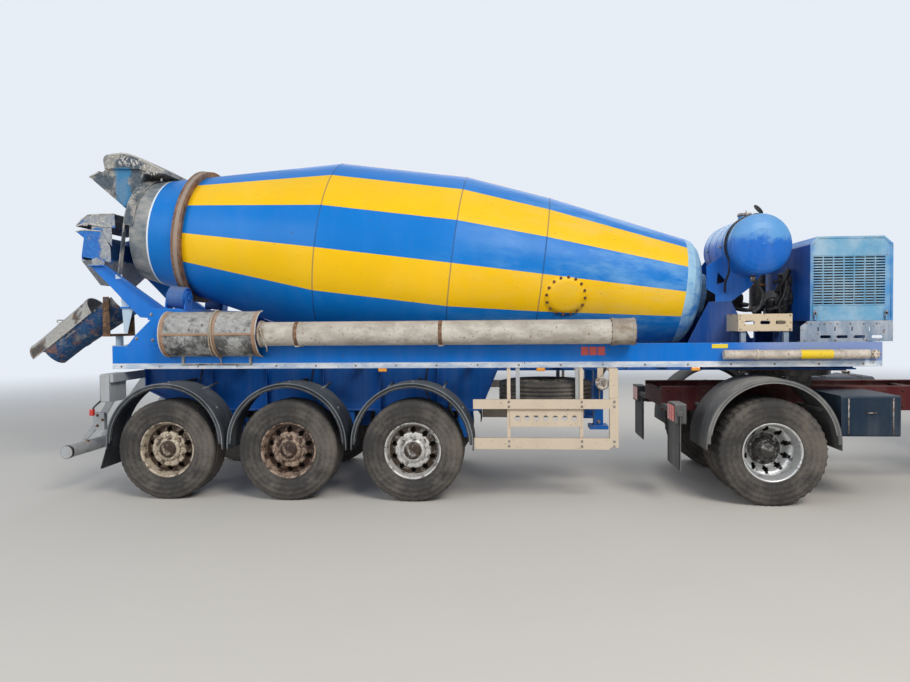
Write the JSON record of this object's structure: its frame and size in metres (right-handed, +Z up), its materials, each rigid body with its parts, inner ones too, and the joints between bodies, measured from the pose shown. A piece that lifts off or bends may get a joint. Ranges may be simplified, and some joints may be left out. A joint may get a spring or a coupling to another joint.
{
  "type": "articulated concrete mixer truck",
  "caption": "Articulated concrete mixer: a semi-trailer with a tilted striped drum, its own drum engine, hoppers and a swivelling chute, coupled to a forward-control tractor.",
  "frame": {"origin": "on the ground at the middle of the vehicle's length and width", "axes": "+X forward towards the cab, +Y to the vehicle's left, +Z up"},
  "size_m": [13.4816, 3.24, 3.867],
  "materials": {
    "beige_steel": "matt, crusted",
    "black_plastic": "grained, dusty",
    "blue_paint": "gloss, worn",
    "cab_paint": "gloss",
    "chassis_blue": "gloss, dusty",
    "clear_glass": "polished",
    "concrete_crust": "dried cement on steel",
    "dark_iron": "oily, dusty",
    "drum_paint": "gloss, yellow stripes, dusty",
    "galvanised": "zinc, satin",
    "grey_plastic": "satin",
    "lamp_red": "gloss",
    "maroon_frame": "satin, dusty",
    "rusty_steel": "rusty, rough",
    "seat_fabric": "woven",
    "tyre_rubber": "matt, dusty"
  },
  "bodies": {
    "trailer": {"chassis": "chassis_blue", "cross_members": "chassis_blue", "kingpin_plate": "rusty_steel", "side_rails": "blue_paint", "rear_pedestal": "blue_paint", "front_pedestal": "chassis_blue", "drum_gearbox": "dark_iron", "engine_base": "galvanised", "engine_block": "dark_iron", "water_tank": "blue_paint", "charging_hopper": "concrete_crust", "discharge_hopper": "blue_paint", "side_pipe": "beige_steel", "stored_chutes": "concrete_crust", "front_tube": "beige_steel", "side_guards": "beige_steel", "spare_wheel": "tyre_rubber", "spare_cradle": "galvanised", "trailer_axles": "dark_iron", "suspension": "chassis_blue", "trailer_mudguards": "black_plastic", "rear_bumper": "galvanised", "trailer_lamps": "lamp_red", "landing_legs": "chassis_blue"},
    "drum": {"drum": "drum_paint", "drum_flights": "rusty_steel", "track_ring": "rusty_steel"},
    "roller_right": {"roller_right": "blue_paint"},
    "roller_left": {"roller_left": "blue_paint"},
    "engine_hood": {"engine_hood": "blue_paint"},
    "chute_bracket": {"chute_bracket": "rusty_steel"},
    "chute_main": {"chute_main": "blue_paint"},
    "chute_extension": {"chute_extension": "blue_paint"},
    "tractor": {"tractor_frame": "maroon_frame", "fifth_wheel": "rusty_steel", "tractor_mudguards": "grey_plastic", "tractor_axles": "dark_iron", "tractor_engine": "dark_iron", "side_tanks": "black_plastic", "front_bumper": "grey_plastic"},
    "knuckle_right": {"knuckle_right": "dark_iron"},
    "knuckle_left": {"knuckle_left": "dark_iron"},
    "cab": {"cab_shell": "cab_paint", "cab_glass": "clear_glass", "seats": "seat_fabric", "dashboard": "black_plastic"},
    "door_right": {"door_right": "cab_paint", "door_glass_right": "clear_glass"},
    "door_left": {"door_left": "cab_paint", "door_glass_left": "clear_glass"},
    "wheel_1_right": {"wheel_1_right": "tyre_rubber"},
    "wheel_1_left": {"wheel_1_left": "tyre_rubber"},
    "wheel_2_right": {"wheel_2_right": "tyre_rubber"},
    "wheel_2_left": {"wheel_2_left": "tyre_rubber"},
    "wheel_3_right": {"wheel_3_right": "tyre_rubber"},
    "wheel_3_left": {"wheel_3_left": "tyre_rubber"},
    "front_wheel_right": {"front_wheel_right": "tyre_rubber"},
    "twin_wheel_right": {"twin_wheel_right": "tyre_rubber"},
    "front_wheel_left": {"front_wheel_left": "tyre_rubber"},
    "twin_wheel_left": {"twin_wheel_left": "tyre_rubber"}
  },
  "joints": [
    {"name": "articulation", "type": "hinge", "parent": "trailer", "child": "tractor", "pos_m": [2.30084, 0, 1.296], "axis": [0, 0, 1], "range_deg": [-70, 70]},
    {"name": "drum_spin", "type": "hinge", "parent": "trailer", "child": "drum", "pos_m": [-1.84916, 0, 2.555], "axis": [-0.9917, 0, 0.1288], "continuous": true},
    {"name": "roller_right_spin", "type": "hinge", "parent": "trailer", "child": "roller_right", "pos_m": [-4.61501, -0.52339, 2.16047], "axis": [-0.9917, 0, 0.1288], "continuous": true},
    {"name": "roller_left_spin", "type": "hinge", "parent": "trailer", "child": "roller_left", "pos_m": [-4.61501, 0.52339, 2.16047], "axis": [-0.9917, 0, 0.1288], "continuous": true},
    {"name": "hood_hinge", "type": "hinge", "parent": "trailer", "child": "engine_hood", "pos_m": [2.69284, 0.572, 1.841], "axis": [-1, 0, 0], "range_deg": [0, 60]},
    {"name": "chute_swivel", "type": "hinge", "parent": "trailer", "child": "chute_bracket", "pos_m": [-5.63916, 0, 1.728], "axis": [0, 0, 1], "range_deg": [-90, 90]},
    {"name": "chute_tilt", "type": "hinge", "parent": "chute_bracket", "child": "chute_main", "pos_m": [-5.63916, 0, 2.153], "axis": [0, 1, 0], "range_deg": [-10, 20]},
    {"name": "chute_fold", "type": "hinge", "parent": "chute_main", "child": "chute_extension", "pos_m": [-6.48458, 0, 1.53876], "axis": [0, -1, 0], "range_deg": [0, 180]},
    {"name": "wheel_1_right_spin", "type": "hinge", "parent": "trailer", "child": "wheel_1_right", "pos_m": [-4.46916, -1.02, 0.526], "axis": [0, 1, 0], "continuous": true},
    {"name": "wheel_1_left_spin", "type": "hinge", "parent": "trailer", "child": "wheel_1_left", "pos_m": [-4.46916, 1.02, 0.526], "axis": [0, 1, 0], "continuous": true},
    {"name": "wheel_2_right_spin", "type": "hinge", "parent": "trailer", "child": "wheel_2_right", "pos_m": [-3.15916, -1.02, 0.526], "axis": [0, 1, 0], "continuous": true},
    {"name": "wheel_2_left_spin", "type": "hinge", "parent": "trailer", "child": "wheel_2_left", "pos_m": [-3.15916, 1.02, 0.526], "axis": [0, 1, 0], "continuous": true},
    {"name": "wheel_3_right_spin", "type": "hinge", "parent": "trailer", "child": "wheel_3_right", "pos_m": [-1.84916, -1.02, 0.526], "axis": [0, 1, 0], "continuous": true},
    {"name": "wheel_3_left_spin", "type": "hinge", "parent": "trailer", "child": "wheel_3_left", "pos_m": [-1.84916, 1.02, 0.526], "axis": [0, 1, 0], "continuous": true},
    {"name": "twin_wheel_right_spin", "type": "hinge", "parent": "tractor", "child": "twin_wheel_right", "pos_m": [1.74084, -0.915, 0.532], "axis": [0, 1, 0], "continuous": true},
    {"name": "twin_wheel_left_spin", "type": "hinge", "parent": "tractor", "child": "twin_wheel_left", "pos_m": [1.74084, 0.915, 0.532], "axis": [0, 1, 0], "continuous": true},
    {"name": "steer_right", "type": "hinge", "parent": "tractor", "child": "knuckle_right", "pos_m": [5.34084, -0.8, 0.532], "axis": [0, 0, 1], "range_deg": [-38, 38]},
    {"name": "front_wheel_right_spin", "type": "hinge", "parent": "knuckle_right", "child": "front_wheel_right", "pos_m": [5.34084, -1.025, 0.532], "axis": [0, 1, 0], "continuous": true},
    {"name": "steer_left", "type": "hinge", "parent": "tractor", "child": "knuckle_left", "pos_m": [5.34084, 0.8, 0.532], "axis": [0, 0, 1], "range_deg": [-38, 38]},
    {"name": "front_wheel_left_spin", "type": "hinge", "parent": "knuckle_left", "child": "front_wheel_left", "pos_m": [5.34084, 1.025, 0.532], "axis": [0, 1, 0], "continuous": true},
    {"name": "cab_tilt", "type": "hinge", "parent": "tractor", "child": "cab", "pos_m": [6.60084, 0, 0.95], "axis": [0, 1, 0], "range_deg": [0, 60]},
    {"name": "door_right_hinge", "type": "hinge", "parent": "cab", "child": "door_right", "pos_m": [6.41484, -1.254, 2], "axis": [0, 0, 1], "range_deg": [0, 70]},
    {"name": "door_left_hinge", "type": "hinge", "parent": "cab", "child": "door_left", "pos_m": [6.41484, 1.254, 2], "axis": [0, 0, -1], "range_deg": [0, 70]}
  ],
  "couplings": [
    {"joint": "roller_right_spin", "follows": "drum_spin", "ratio": -6.296},
    {"joint": "roller_left_spin", "follows": "drum_spin", "ratio": -6.296},
    {"joint": "steer_left", "follows": "steer_right", "ratio": 1}
  ]
}
